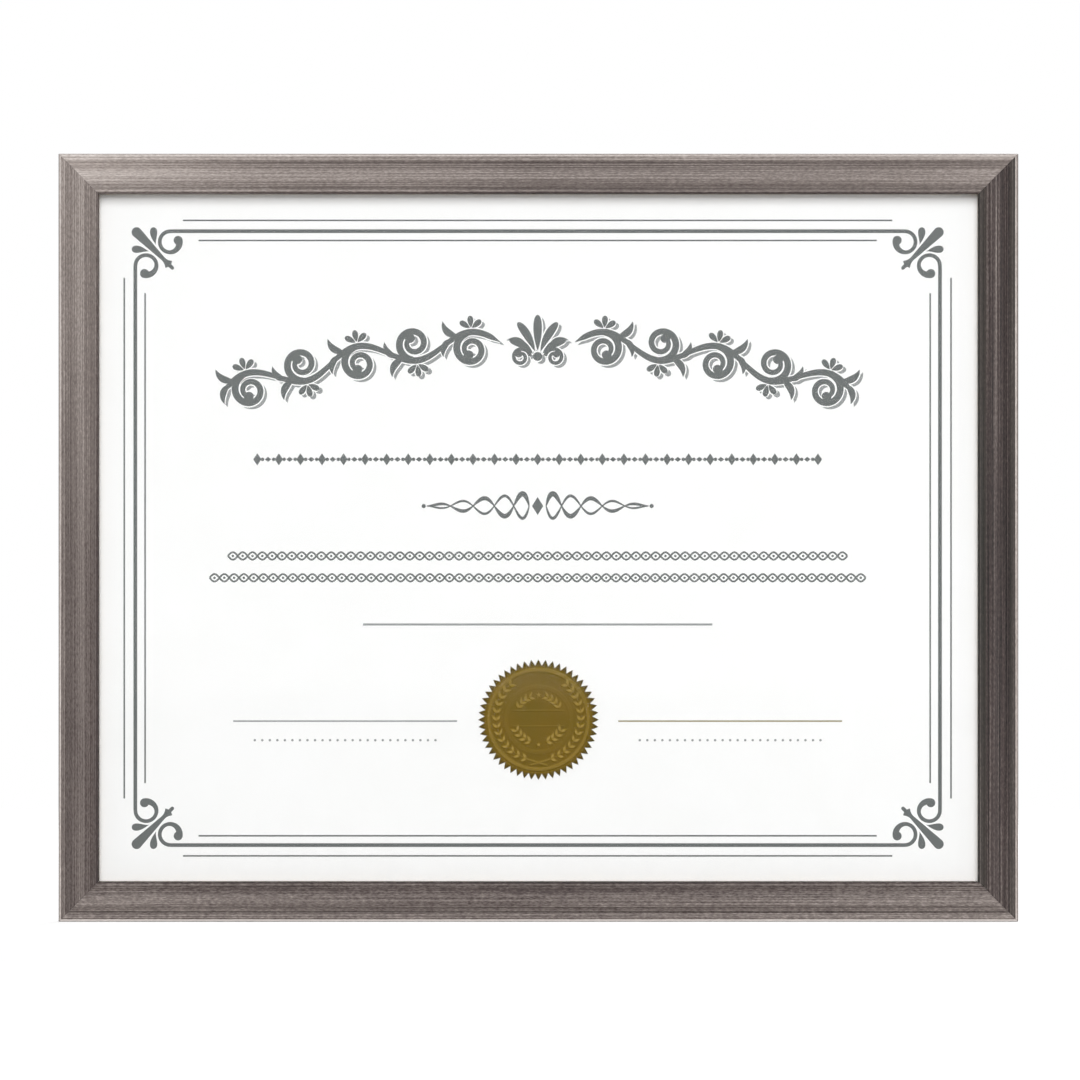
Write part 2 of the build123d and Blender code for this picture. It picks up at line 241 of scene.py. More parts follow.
def moulding_section():
    """Outline of the moulding as (width, height) points, from the back up the outer edge and over its face.

    A quarter-round bead falls by a flatter arc into a quirk. A fillet with two reeds steps up to the
    cushion, an arc through its edge, crest and end. A second quirk, a small sight bead, the lip and the
    rabbet close it. Also returns how many of the points lie on the finished outside.
    """
    fillet = BEAD_WIDTH + QUIRK_WIDTH
    cushion = fillet + FILLET_WIDTH
    sight_bead = FACE_WIDTH - SIGHT_BEAD_WIDTH
    sight_quirk = sight_bead - SIGHT_QUIRK_WIDTH
    fall = BEAD_TOP - BEAD_END
    run = BEAD_WIDTH - BEAD_RADIUS
    back_radius = (run ** 2 + fall ** 2) / (2 * fall)
    cushion_points = ((cushion, CUSHION_EDGE), (cushion + CUSHION_CREST_INSET, CUSHION_CREST),
                      (sight_quirk, CUSHION_END))
    corner_points = [(0.0, BACK_CHAMFER), (0.0, BEAD_TOP - BEAD_RADIUS)]
    bead_crest = (BEAD_RADIUS, BEAD_TOP)
    bead_foot = (BEAD_WIDTH, BEAD_END)
    outside = [straight(*corner_points, FACE_STEP),
               arc((BEAD_RADIUS, BEAD_TOP - BEAD_RADIUS), corner_points[1], bead_crest, FACE_STEP),
               arc((BEAD_RADIUS, BEAD_TOP - back_radius), bead_crest, bead_foot, FACE_STEP)]
    steps = [bead_foot, (BEAD_WIDTH, QUIRK_FLOOR), (fillet, QUIRK_FLOOR), (fillet, FILLET_TOP)]
    for place in REED_PLACES:
        middle = fillet + place
        steps += [(middle - REED_WIDTH / 2, FILLET_TOP), (middle, FILLET_TOP - REED_DEPTH),
                  (middle + REED_WIDTH / 2, FILLET_TOP)]
    steps += [(cushion, FILLET_TOP), cushion_points[0]]
    outside += polyline(steps, FACE_STEP)
    outside.append(arc(circle_centre(*cushion_points), cushion_points[0], cushion_points[2], FACE_STEP))
    steps = [cushion_points[2], (sight_quirk, SIGHT_QUIRK_FLOOR), (sight_bead, SIGHT_QUIRK_FLOOR),
             (sight_bead, CUSHION_END), (FACE_WIDTH - SIGHT_BEAD_RADIUS, CUSHION_END)]
    outside += polyline(steps, FACE_STEP)
    sight_edge = (FACE_WIDTH, CUSHION_END - SIGHT_BEAD_RADIUS)
    outside.append(arc((steps[-1][0], sight_edge[1]), steps[-1], sight_edge, FACE_STEP))
    outside.append(straight(sight_edge, (FACE_WIDTH, RABBET_DEPTH), 4 * FACE_STEP))
    land = FACE_WIDTH - LIP_WIDTH
    steps = [(FACE_WIDTH, RABBET_DEPTH), (land, RABBET_DEPTH), (land, BACK_RECESS),
             (BACK_CHAMFER, BACK_RECESS), corner_points[0]]
    inside = polyline(steps, BACK_STEP)
    finished = sum(len(stretch) for stretch in outside)
    return np.concatenate(outside + inside), finished


def bell(waves, spread):
    """What a blur by a bell curve leaves of waves of so many turns per step."""
    return np.exp(-2 * (math.pi * spread * waves) ** 2)


def fine_lines(noise, length, width):
    """Noise drawn out into lines: blurred along, and across to a width less what a wider blur leaves."""
    along, across = np.meshgrid(*(np.fft.fftfreq(count) for count in noise.shape), indexing="ij")
    kept = bell(along, length) * (bell(across, width) - bell(across, WIDE_BLUR * width))
    lines = np.fft.ifft2(np.fft.fft2(noise) * kept).real
    return lines / lines.std()


def brushed_grain(stations, ring, seed):
    """Depth of the wire-brushed grain from 0 to 1: white noise drawn out into lines, in three layers."""
    rng = np.random.default_rng(seed)
    layers = []
    for length, width, weight in GRAIN_LAYERS:
        noise = rng.standard_normal((stations, ring))
        layers.append(weight * fine_lines(noise, length / ALONG_STEP, width / FACE_STEP))
    return smooth_step(sum(layers), *GRAIN_LIMITS)


def rail(name, finish, outward, half, length, seed, tones_and_painted_light, figure, lines, arris=0.95, arris_wear_and_highlight=1.0,
         bead_rub_and_highlight=0.03, outer_side_shade=0.4, shade_tilt=0.0, glint=0.0, dull=0.0):
    """One mitred rail: the moulding section carried along a side of the frame.

    A point's place along the rail is a share of half the length less its width, which makes the mitres.
    The grain presses the finished outside in along the section's normal, and never out.
    The tone values run from the rail's start to its end and hold the rail's own tone with painted light in
    it, the figure is the strength of the flecks and blots in the grain, and lines is that of its long lines.
    The arris is worn pale and carries a painted highlight, with painted shade on the outer side as a dark
    line outside it, the outer bead is rubbed pale and carries a painted highlight, the shade tilt paints
    shade towards the sight edge and a highlight towards the outer edge, the glint paints the sight bead
    lighter as a highlight, or darker as shade where it is negative, and both edges get an olive painted
    shade.
    """
    section, finished = moulding_section()
    ring = len(section)
    stations = round(length / ALONG_STEP)
    tangent = np.roll(section, -1, axis=0) - np.roll(section, 1, axis=0)
    tangent /= np.linalg.norm(tangent, axis=1, keepdims=True)
    inward = np.stack([tangent[:, 1], -tangent[:, 0]], axis=1)
    is_finished = (np.arange(ring) < finished).astype(float)
    grain = brushed_grain(stations, ring, seed) * is_finished
    pressed = section + GRAIN_DEPTH * grain[..., None] * inward
    width, height = pressed[..., 0], pressed[..., 1]
    share = np.linspace(-1, 1, stations)[:, None]
    along = share * (length / 2 - width - MITRE_GAP)
    side = np.array(outward, float)
    forth = np.array([side[1], -side[0]])
    plan = along[..., None] * forth + (half - width)[..., None] * side
    points = np.stack([plan[..., 0], RAIL_BACK - height, plan[..., 1]], axis=-1)

    u, v = section.T
    on_face = smooth_step(v, BEAD_TOP - BEAD_RADIUS, BEAD_TOP - 0.3 * BEAD_RADIUS)
    # Staining and painted shade across the section, a painted highlight on the crest, and painted shade on
    # the outer side
    stain = np.interp(u, STAIN_AND_SHADE_PLACES, STAIN_AND_SHADE_DEPTHS) + outer_side_shade * (1 - smooth_step(u, *OUTER_SIDE_SHADE_EDGE))
    # Shade tilt: painted shade towards the sight edge and a painted highlight outward; the glint is a painted
    # highlight on the sight bead, or painted shade where negative
    stain = stain + shade_tilt * np.clip((u - SHADE_TILT_MIDDLE) / SHADE_TILT_REACH, -1, 1) - glint * band(u, *GLINT_BAND)
    stain = stain * is_finished
    # Worn pale edges with a painted highlight, on the arris and the outer bead
    wear = arris_wear_and_highlight * band(u, ARRIS_START, arris, ARRIS_SOFT) + bead_rub_and_highlight * band(u, *BEAD_RUB_AND_HIGHLIGHT_BAND)
    wear = wear * on_face * is_finished
    # Olive painted shade at both edges
    edges = dull * sum(band(u, *place) for place in EDGE_SHADE_BANDS) * is_finished
    # Tone along the rail, with painted light in it
    tone = np.interp(share, np.linspace(-1, 1, len(tones_and_painted_light)), tones_and_painted_light)
    whole = np.ones((stations, 1))
    attributes = {
        "grain_place": np.stack([along + GRAIN_SPACING * seed, width, height], axis=-1).reshape(-1, 3),
        "groove": grain.ravel(),
        "stain": (whole * stain).ravel(),
        "wear": (whole * wear).ravel(),
        "dull": (whole * edges).ravel(),
        "raw": (whole * (1 - is_finished)).ravel(),
        "tone": (tone * np.ones(ring)).ravel(),
        "figure": np.full(stations * ring, figure),
        "lines": np.full(stations * ring, lines),
    }
    return add_piece(name + "_moulding", points.reshape(-1, 3), tube_faces(stations, ring), finish,
                     attributes, (name,))


# The four rails, each run clockwise as seen from the front
ACROSS = {"half": OUTER_HEIGHT / 2, "length": OUTER_WIDTH}
UPRIGHT = {"half": OUTER_WIDTH / 2, "length": OUTER_HEIGHT}
# Each rail's tone values hold its own tone and painted light: the top rail lightest, the right rail darkest,
# the top rail lighter at its left end and the left rail at its top
RAILS = {
    "top_rail": {**ACROSS, "outward": (0, 1), "seed": 1, "tones_and_painted_light": (0.702, 0.547, 0.477, 0.497, 0.557),
                 "figure": 0.09, "lines": 0.24, "bead_rub_and_highlight": 0.2},
    "right_rail": {**UPRIGHT, "outward": (1, 0), "seed": 2, "tones_and_painted_light": (0.25, 0.217, 0.158, 0.207, 0.278),
                   "figure": 0.1, "lines": 0.75, "arris": 1.2, "glint": -0.2, "dull": 0.35},
    "bottom_rail": {**ACROSS, "outward": (0, -1), "seed": 3, "tones_and_painted_light": (0.455, 0.435, 0.375, 0.40, 0.485),
                    "figure": 0.22, "lines": 0.32, "arris": 0.85, "arris_wear_and_highlight": 1.7, "outer_side_shade": 0.0,
                    "shade_tilt": 0.25, "glint": 0.8},
    "left_rail": {**UPRIGHT, "outward": (-1, 0), "seed": 4, "tones_and_painted_light": (0.37, 0.385, 0.43, 0.517, 0.577),
                  "figure": 0.05, "lines": 0.06, "bead_rub_and_highlight": 0.12, "glint": -0.6},
}


# Ink on the sheet: each stroke is a path of (x, z) points with a half width at each point


def ink_mesh(strokes, height, widen=0.0, shift=(0.0, 0.0), levels=INK_LEVELS):
    """Low domed beads of ink: a six-sided section carried along each path, as wide as the path says.

    Strokes that follow one another differ a little in height, so that one lies on the other at a crossing.
    """
    across = np.array([-1.0, 1.0, 1.0, 0.75, -0.75, -1.0])
    points, faces, used = [], [], 0
    for index, (path, half_width) in enumerate(strokes):
        top = height + index % levels * INK_LEVEL_STEP
        rise = np.array([-INK_SINK, -INK_SINK, 0.5 * top, top, top, 0.5 * top])
        tangent = np.gradient(path, axis=0)
        tangent /= np.linalg.norm(tangent, axis=1, keepdims=True)
        normal = np.stack([-tangent[:, 1], tangent[:, 0]], axis=1)
        spread = (half_width + widen)[:, None] * across
        plan = path[:, None, :] + normal[:, None, :] * spread[..., None]
        level = np.broadcast_to(PAPER_FRONT - rise, spread.shape)
        printed = plan + np.add(shift, PRINT_SHIFT)
        points.append(np.stack([printed[..., 0], level, printed[..., 1]], axis=-1))
        faces += [[used + corner for corner in face] for face in tube_faces(len(path), len(across))]
        used += spread.size
    return np.concatenate([block.reshape(-1, 3) for block in points]), faces


def rule(start, end, width):
    """A straight stroke of even width."""
    path = np.array([start, end], float)
    return path, np.full(2, width / 2)


def ball(centre, radius, stations=9):
    """A round blot: a stroke along its diameter, as wide as the circle is there."""
    share = np.cos(np.linspace(math.pi, 0, stations))
    path = np.asarray(centre) + radius * np.stack([share, np.zeros(stations)], axis=1)
    return path, np.maximum(radius * np.sqrt(1 - share ** 2), FINEST)


def bowed(start, end, t, bow):
    """Points at the shares t of a line, moved aside by a parabola as high as bow times the length."""
    start, end = np.asarray(start, float), np.asarray(end, float)
    run = end - start
    side = np.array([-run[1], run[0]])
    return start + t[:, None] * run + (bow * 4 * t * (1 - t))[:, None] * side


def drop(head, tip, radius, bow=0.0, taper=0.9, stations=17):
    """A teardrop from round head to tip, bowed sideways: half width goes as sqrt(t) (1 - t)^taper."""
    t = np.linspace(0, 1, stations) ** 1.5
    fullest = 0.5 / (0.5 + taper)
    swell = np.sqrt(t) * (1 - t) ** taper / (math.sqrt(fullest) * (1 - fullest) ** taper)
    return bowed(head, tip, t, bow), np.maximum(radius * swell, FINEST)


def frond(foot, tip, half_width, bow, stations=17):
    """A leaf pointed at foot and tip, bowed sideways: half width goes as sin(pi t^0.8)^0.8."""
    t = np.linspace(0, 1, stations)
    swell = np.clip(np.sin(math.pi * t ** 0.8), 0, 1) ** 0.8
    return bowed(foot, tip, t, bow), np.maximum(half_width * swell, FINEST)


def lozenge(centre, reach, height):
    """A diamond: a short level stroke whose half width rises to the middle and falls again."""
    share = np.linspace(-1, 1, 5)
    path = np.asarray(centre) + np.stack([reach * share, np.zeros(5)], axis=1)
    return path, np.maximum(height * (1 - np.abs(share)), FINEST)


def bar(start, end, first_radius, last_radius, stations=25):
    """A round-ended stroke between two circles: half width is a circle's at each end and a taper between."""
    start, end = np.asarray(start, float), np.asarray(end, float)
    length = np.linalg.norm(end - start)
    place = np.cos(np.linspace(math.pi, 0, stations))
    middle = (length + last_radius - first_radius) / 2
    place = middle + place * (length + first_radius + last_radius) / 2
    taper = np.interp(place, (0, length), (first_radius, last_radius))
    first_cap = np.sqrt(np.maximum(first_radius ** 2 - np.minimum(place, 0) ** 2, 0))
    last_cap = np.sqrt(np.maximum(last_radius ** 2 - np.maximum(place - length, 0) ** 2, 0))
    half_width = np.where(place < 0, first_cap, np.where(place > length, last_cap, taper))
    return start + place[:, None] * (end - start) / length, np.maximum(half_width, FINEST)


def volute(centre, radii, start, turn, half_widths, stations=56):
    """A spiral about centre: its radius and half width ease from first to last as it turns, in degrees."""
    t = np.linspace(0, 1, stations)
    angle = np.radians(start + turn * t)
    radius = radii[0] * (radii[1] / radii[0]) ** t
    path = np.asarray(centre) + radius[:, None] * np.stack([np.cos(angle), np.sin(angle)], axis=1)
    return path, half_widths[0] + (half_widths[1] - half_widths[0]) * t


def mirrored(strokes, flip):
    """The strokes with their (x, z) points multiplied by flip."""
    return [(path * np.asarray(flip, float), half_width) for path, half_width in strokes]


def moved(strokes, shift):
    """The strokes with their (x, z) points moved by shift."""
    return [(path + np.asarray(shift, float), half_width) for path, half_width in strokes]


def border_rules():
    """Triple rules round the sheet: a thick one that runs into the corner scrolls, between two thin ones."""
    strokes = []
    thick_reach = np.array(THICK_RULE) - SCROLL_CENTRE[0] + SCROLL_SLIDES
    lines = ((THICK_RULE, thick_reach, THICK_RULE_WIDTH), (OUTER_RULE, OUTER_RULE_REACH, THIN_RULE_WIDTH),
             (INNER_RULE, INNER_RULE_REACH, THIN_RULE_WIDTH))
    for place, reach, width in lines:
        for side in (-1, 1):
            strokes.append(rule((-reach[0], side * place[1]), (reach[0], side * place[1]), width))
            strokes.append(rule((side * place[0], -reach[1]), (side * place[0], reach[1]), width))
    return strokes


# Corner scroll, measured from the corner of the thick rule, inwards along both sides
SCROLL_CENTRE = (14.1, 4.25)
SCROLL_SLIDES = (0.15, 0.35)
CLUB_SHIFT = (-0.15, -0.25)
SCROLL_OUTER_RADIUS = 4.95
SCROLL_SWEEP = 281.0
SCROLL_END_WIDTH = 1.3
SCROLL_BALL = 1.78
CLUB_HEAD = 0.68
CLUB_HEAD_RADIUS = 2.02
CLUB_NECK = 11.35
CLUB_NECK_WIDTH = 0.76
BARB_PLACES = (0.0, 0.9, 2.0, 2.85, 3.1, 3.35, 3.6, 5.1, 5.5, 5.75)
BARB_WIDTHS = (0.76, 0.85, 1.25, 1.85, 1.85, 1.3, 0.75, 0.72, 0.52, 0.02)
PETAL_HEAD = (7.45, -1.3)
PETAL_TIP = (8.3, 5.65)
PETAL_RADIUS = 1.45
PETAL_BOW = 0.045
PETAL_TAPER = 1.35


def corner_scroll():
    """One corner's ornament in (inwards, inwards) axes from the rules' corner.

    Each rule curls round in a circle whose outer edge keeps its radius while the stroke swells to a ball.
    A club lies on the diagonal, with a barbed tip, and a petal stands on either side of it.
    """
    t = np.linspace(0, 1, 64)
    half = THICK_RULE_WIDTH / 2 + (SCROLL_END_WIDTH - THICK_RULE_WIDTH / 2) * smooth_step(t, 0.55, 1.0)
    angle = np.radians(-90 - SCROLL_SWEEP * t)
    radius = SCROLL_OUTER_RADIUS - half
    curl = np.array(SCROLL_CENTRE) + radius[:, None] * np.stack([np.cos(angle), np.sin(angle)], axis=1)
    end_radius = SCROLL_OUTER_RADIUS - SCROLL_BALL
    end = np.array(SCROLL_CENTRE) + end_radius * np.array([math.cos(angle[-1]), math.sin(angle[-1])])
    across = [(curl, half), ball(end, SCROLL_BALL, 17)]
    upright = [(path[:, ::-1], half_width) for path, half_width in across]
    petal, petal_width = drop(PETAL_HEAD, PETAL_TIP, PETAL_RADIUS, PETAL_BOW, PETAL_TAPER)
    club = bar((CLUB_HEAD, CLUB_HEAD), (CLUB_NECK, CLUB_NECK), CLUB_HEAD_RADIUS, CLUB_NECK_WIDTH)
    tip = CLUB_NECK + np.array(BARB_PLACES) * math.sqrt(0.5)
    barbs = np.stack([tip, tip], axis=1), np.array(BARB_WIDTHS)
    middle = [(petal, petal_width), (petal[:, ::-1], petal_width), club, barbs]
    return (moved(across, (-SCROLL_SLIDES[0], 0)) + moved(upright, (0, -SCROLL_SLIDES[1]))
            + moved(middle, CLUB_SHIFT))


def corner_scrolls():
    """The corner ornament at the four corners of the thick rule."""
    strokes = []
    for across in (-1, 1):
        for up in (-1, 1):
            corner = np.array([across * THICK_RULE[0], up * THICK_RULE[1]])
            strokes += moved(mirrored(corner_scroll(), (-across, -up)), corner)
    return strokes


# Arched leaf scroll over the writing lines
ARCH_RADIUS = 392.0
ARCH_TOP = 78.4
VINE_START = 14.9
VINE_HOLLOW = 22.6
VINE_HOLLOWS = 5
VINE_SWING = 4.6
VINE_HALF_WIDTH = 1.45
CURL_RADII = (6.9, 2.5)
CURL_TURN = 510.0
CURL_HALF_WIDTHS = (1.6, 1.0)
CURL_BALL = 2.0
CURL_OFFSET = 0.4
BUD_LEANS = (-52.0, 0.0, 52.0)
BUD_REACH = 5.2
BUD_RADIUS = 1.3
BUD_GAP = 1.3
BUD_FOOT = 0.5
OUTER_LEAF = (0.24, 50.0, 8.4, 1.55, 0.2)
INNER_LEAF = (0.34, -58.0, 7.8, 1.45, -0.2)
PALMETTE_ROOT = (0.0, -6.0)
PALMETTE_BALL = 1.9
PALMETTE_LEAN = 30.0
PALMETTE_REACH = 16.6
PALMETTE_SHORTENING = 0.9
PALMETTE_FOOT = 2.3
PALMETTE_PETAL = 1.9
PALMETTE_THINNING = 0.1
PALMETTE_BOW = -0.05
SIDE_CURL = {"centre": (6.9, -6.3), "radii": (3.9, 1.5), "start": 172, "turn": -470,
             "half_widths": (0.85, 0.75)}
SIDE_CURL_BALL = 1.5
SIDE_LEAF = {"foot": (4.6, -2.4), "tip": (12.4, 0.6), "half_width": 1.15, "bow": 0.2}
SHADOW_SHIFT = (1.3, -1.1)
GAP_WIDTH = 0.42


def heading(degrees):
    """A step of length one, turned clockwise from upright."""
    return np.array([math.sin(math.radians(degrees)), math.cos(math.radians(degrees))])


def vine_half():
    """Right half of a running leaf scroll, in (along, height) axes.

    The stem is a sine wave. In each hollow a spiral leaves the stem at its turn and winds in to a ball,
    three drops stand like a bud on the outside of the same turn, and after it a leaf grows to each side.
    A leaf's values are its share of the hollow, lean in degrees, length, half width and bow.
    """
    length = VINE_HOLLOW * VINE_HOLLOWS
    along = np.linspace(0, length, 30 * VINE_HOLLOWS)
    phase = math.pi * along / VINE_HOLLOW
    swell = VINE_HALF_WIDTH * (0.7 + 0.3 * np.abs(np.sin(phase)))
    ease = np.minimum(1, np.minimum(along, length - along) / 4 + 0.15)
    strokes = [(np.stack([VINE_START + along, VINE_SWING * np.sin(phase)], axis=1), swell * ease)]
    for hollow in range(VINE_HOLLOWS):
        outside = -1 if hollow % 2 else 1
        middle = VINE_START + (hollow + 0.5) * VINE_HOLLOW
        turn = outside * VINE_SWING
        centre = (middle + CURL_OFFSET, turn - outside * CURL_RADII[0])
        spiral = volute(centre, CURL_RADII, 90 * outside, -outside * CURL_TURN, CURL_HALF_WIDTHS)
        strokes += [spiral, ball(spiral[0][-1], CURL_BALL, 13)]
        for share, lean, reach, half_width, bow in (OUTER_LEAF, INNER_LEAF):
            place = (hollow + 0.5 + share) * VINE_HOLLOW
            foot = np.array([VINE_START + place, VINE_SWING * math.sin(math.pi * place / VINE_HOLLOW)])
            tip = foot + reach * heading(90 - lean) * (1, outside)
            strokes.append(frond(foot, tip, half_width, -bow * outside))
        root = np.array([middle, turn + outside * BUD_GAP])
        for lean in BUD_LEANS:
            step = heading(lean) * (1, outside)
            strokes.append(drop(root + BUD_REACH * step, root + BUD_FOOT * step, BUD_RADIUS))
    return strokes


def palmette():
    """Middle of the leaf scroll: five drops fanned over a ball, with a leaf and a small curl at each side."""
    root = np.array(PALMETTE_ROOT)
    strokes = [ball(root, PALMETTE_BALL, 13)]
    for petal in range(-2, 3):
        step = heading(PALMETTE_LEAN * petal)
        reach = PALMETTE_REACH - PALMETTE_SHORTENING * petal ** 2
        radius = PALMETTE_PETAL - PALMETTE_THINNING * abs(petal)
        strokes.append(drop(root + reach * step, root + PALMETTE_FOOT * step, radius, PALMETTE_BOW * petal))
    curl = volute(**SIDE_CURL, stations=40)
    curls = [curl, ball(curl[0][-1], SIDE_CURL_BALL), frond(**SIDE_LEAF)]
    return strokes + curls + mirrored(curls, (-1, 1))


def arched(strokes):
    """Bends level strokes onto the arch: reach is radius plus height, turned by distance over radius."""
    bent = []
    arch_centre = ARCH_TOP - ARCH_RADIUS
    for path, half_width in strokes:
        turn = path[:, 0] / ARCH_RADIUS
        reach = ARCH_RADIUS + path[:, 1]
        curved = np.stack([reach * np.sin(turn), arch_centre + reach * np.cos(turn)], axis=1)
        bent.append((curved, half_width))
    return bent


# Rows under the arch: height and half width of each. The signing rule has its middle between them.
CHAIN_ROW = (31.4, 111.7)
CHAIN_PITCH = 8.6
CHAIN_LINK = (1.6, 2.4)
CHAIN_SPACER = (1.3, 1.0)
CHAIN_BALL = 0.72
CHAIN_BALL_REACH = 2.2
FLOURISH_ROW = (12.8, 44.2)
FLOURISH_LOZENGE = (2.2, 3.6)
FLOURISH_START = 3.4
FLOURISH_WAVES = 2.5
FLOURISH_SWING = 5.2
FLOURISH_HAIRLINE = 0.24
FLOURISH_SWELLS = {-1: 0.4, 1: 0.85}
FLOURISH_BALL = 0.85
FLOURISH_BALL_GAP = 1.2
BRAID_ROWS = ((-7.1, 123.4), (-15.8, 130.7))
BRAID_PITCH = 3.9
BRAID_SWING = 1.5
BRAID_HALF_WIDTH = 0.36
BRAID_BALL = 0.5
CENTRE_RULE = (-34.4, 69.6)
SIGNING_RULE = (-72.9, 76.7, 44.6)
CAPTION_ROW = (-80.5, 36.0)
CAPTION_DOTS = 25
CAPTION_DOT = 0.5
WRITING_RULE_WIDTH = 0.85
SIGNING_RULE_WIDTH = 0.62


def chain_row():
    """A level chain of tall lozenges, each pair with a ball, a small lozenge and a ball between."""
    height, reach = CHAIN_ROW
    count = round(2 * reach / CHAIN_PITCH)
    strokes = []
    for link in range(count + 1):
        x = (link - count / 2) * 2 * reach / count
        strokes.append(lozenge((x, height), *CHAIN_LINK))
        if link < count:
            between = x + reach / count
            strokes.append(lozenge((between, height), *CHAIN_SPACER))
            for shift in (-CHAIN_BALL_REACH, CHAIN_BALL_REACH):
                strokes.append(ball((between + shift, height), CHAIN_BALL, 7))
    return strokes


def flourish():
    """Two crossing waves each side of a lozenge, dying away outwards, swelling on each turn."""
    height, reach = FLOURISH_ROW
    strokes = [lozenge((0, height), *FLOURISH_LOZENGE)]
    t = np.linspace(0, 1, 120)
    x = FLOURISH_START + (reach - FLOURISH_START) * t
    wave = np.sin(2 * math.pi * FLOURISH_WAVES * t ** 0.85)
    for side in (-1, 1):
        for strand, swell in FLOURISH_SWELLS.items():
            z = height + strand * FLOURISH_SWING * (1 - t) ** 0.9 * wave
            half_width = FLOURISH_HAIRLINE + swell * np.abs(wave) * (1 - 0.7 * t)
            strokes.append((np.stack([side * x, z], axis=1), half_width))
        strokes.append(ball((side * (reach + FLOURISH_BALL_GAP), height), FLOURISH_BALL))
    return strokes


def braid_rows():
    """Two level braids, each of two sine waves half a wave apart with a ball in every eye."""
    strokes = []
    for height, reach in BRAID_ROWS:
        eyes = round(2 * reach / BRAID_PITCH)
        x = np.linspace(-reach, reach, eyes * 9 + 1)
        wave = np.sin(math.pi * eyes * (x + reach) / (2 * reach))
        for strand in (-1, 1):
            path = np.stack([x, height + strand * BRAID_SWING * wave], axis=1)
            strokes.append((path, np.full(len(x), BRAID_HALF_WIDTH)))
        for eye in range(eyes):
            strokes.append(ball(((eye + 0.5) * 2 * reach / eyes - reach, height), BRAID_BALL, 6))
    return strokes


def signing_rule(side):
    """The signing rule on the left, for a side of -1, or on the right, for a side of 1."""
    height, middle, reach = SIGNING_RULE
    return rule((side * middle - reach, height), (side * middle + reach, height), SIGNING_RULE_WIDTH)


def writing_rules():
    """The middle rule, the left signing rule, and the row of dots under each signing rule."""
    height, reach = CENTRE_RULE
    strokes = [rule((-reach, height), (reach, height), WRITING_RULE_WIDTH), signing_rule(-1)]
    height, reach = CAPTION_ROW
    dots = np.linspace(-reach, reach, CAPTION_DOTS)
    for side in (-1, 1):
        strokes += [ball((side * SIGNING_RULE[1] + x, height), CAPTION_DOT, 6) for x in dots]
    return strokes


# Foil seal
SEAL_CENTRE = (SEAL_LOW + SEAL_HIGH) / 2
SEAL_TEETH = 52
SEAL_TIP_RADIUS = 24.0
SEAL_ROOT_RADIUS = 21.5
SEAL_FIELD_RADIUS = 21.2
SEAL_FOIL = 0.25
SEAL_RELIEF = SEAL_HIGH[1] - SEAL_LOW[1] - SEAL_FOIL
OUTER_RIM = (19.35, 20.35, 0.5)
OUTER_RIM_HEIGHT = 0.5
INNER_RIM = (12.5, 13.6, 0.6)
INNER_RIM_HEIGHT = 0.25
BRANCHES = (
    {"radius": 16.3, "flare": 1.5, "first": -73.0, "last": 49.0, "pairs": 13, "size": 3.0},
    {"radius": 9.5, "flare": 0.0, "first": 29.0, "last": 66.0, "pairs": 4, "size": 2.8},
    {"radius": 9.3, "flare": 0.6, "first": -71.0, "last": -30.0, "pairs": 4, "size": 3.2},
)
STEM_CROSSING = ((-4.4, -15.9), (3.1, -18.2))
STEM_SPREAD = 0.4
STEM_HEIGHT = 0.6
TWIG_SPREAD = 0.16
TWIG_HEIGHT = 0.6
LEAF_LEAN = 38.0
LEAF_HALF_WIDTH = 0.21
RIB_SPREAD = 0.1
RIB_DEPTH = 0.3
BAND_EDGES = (3.6, -2.6)
BAND_FADE = (9.6, 10.8)
BAND_SPREAD = 0.22
BAND_HEIGHT = 0.4
STAR_HEIGHTS = (9.7, -10.0)
STAR_RADIUS = 0.62
TOOTH_RINGS = (1.0, 0.66, 0.33)
TOOTH_RIDGE = 0.3
TOOTH_FADE = 0.8
TOOTH_SHADE_WIDTH = 1.0
SAMPLES_PER_TOOTH = 12
SEAL_RINGS = 116


def leaf(x, z, root, direction, length, half_width):
    """Height of an embossed leaf: a rounded lens along its direction, with a fine crease for its rib."""
    along = ((x - root[0]) * direction[0] + (z - root[1]) * direction[1]) / length
    aside = (z - root[1]) * direction[0] - (x - root[0]) * direction[1]
    inside = np.clip(along, 0, 1)
    edge = half_width * np.sin(math.pi * inside ** 0.8) + 1e-6
    dome = np.sqrt(np.clip(1 - (aside / edge) ** 2, 0, 1)) * ((along > 0) & (along < 1))
    rib = RIB_DEPTH * np.exp(-(aside / RIB_SPREAD) ** 2)
    return dome * np.clip(np.sin(math.pi * inside), 0, 1) ** 0.3 * (1 - rib)


def branch(x, z, radius, flare, first, last, pairs, size):
    """Height of a laurel branch: pairs of leaves that lean off a thin stem towards its tip.

    The stem's radius is a circle's plus a flare that goes as the square of the share run from foot to tip.
    """
    relief = np.zeros_like(x)
    sense = np.sign(last - first)
    for share in np.linspace(0, 1, pairs):
        angle = math.radians(first + share * (last - first))
        root = (radius + flare * share ** 2) * np.array([math.cos(angle), math.sin(angle)])
        for lean in (-LEAF_LEAN, LEAF_LEAN):
            bearing = angle + sense * math.pi / 2 + math.radians(lean)
            direction = (math.cos(bearing), math.sin(bearing))
            relief = np.maximum(relief, leaf(x, z, root, direction, size, LEAF_HALF_WIDTH * size))
    turned = (np.degrees(np.arctan2(z, x)) - first) * sense
    share = ((turned + 180) % 360 - 180) / abs(last - first)
    ridge = np.exp(-((np.hypot(x, z) - radius - flare * share ** 2) / TWIG_SPREAD) ** 2)
    return np.maximum(relief, TWIG_HEIGHT * ridge * ((share > -0.04) & (share < 1)))


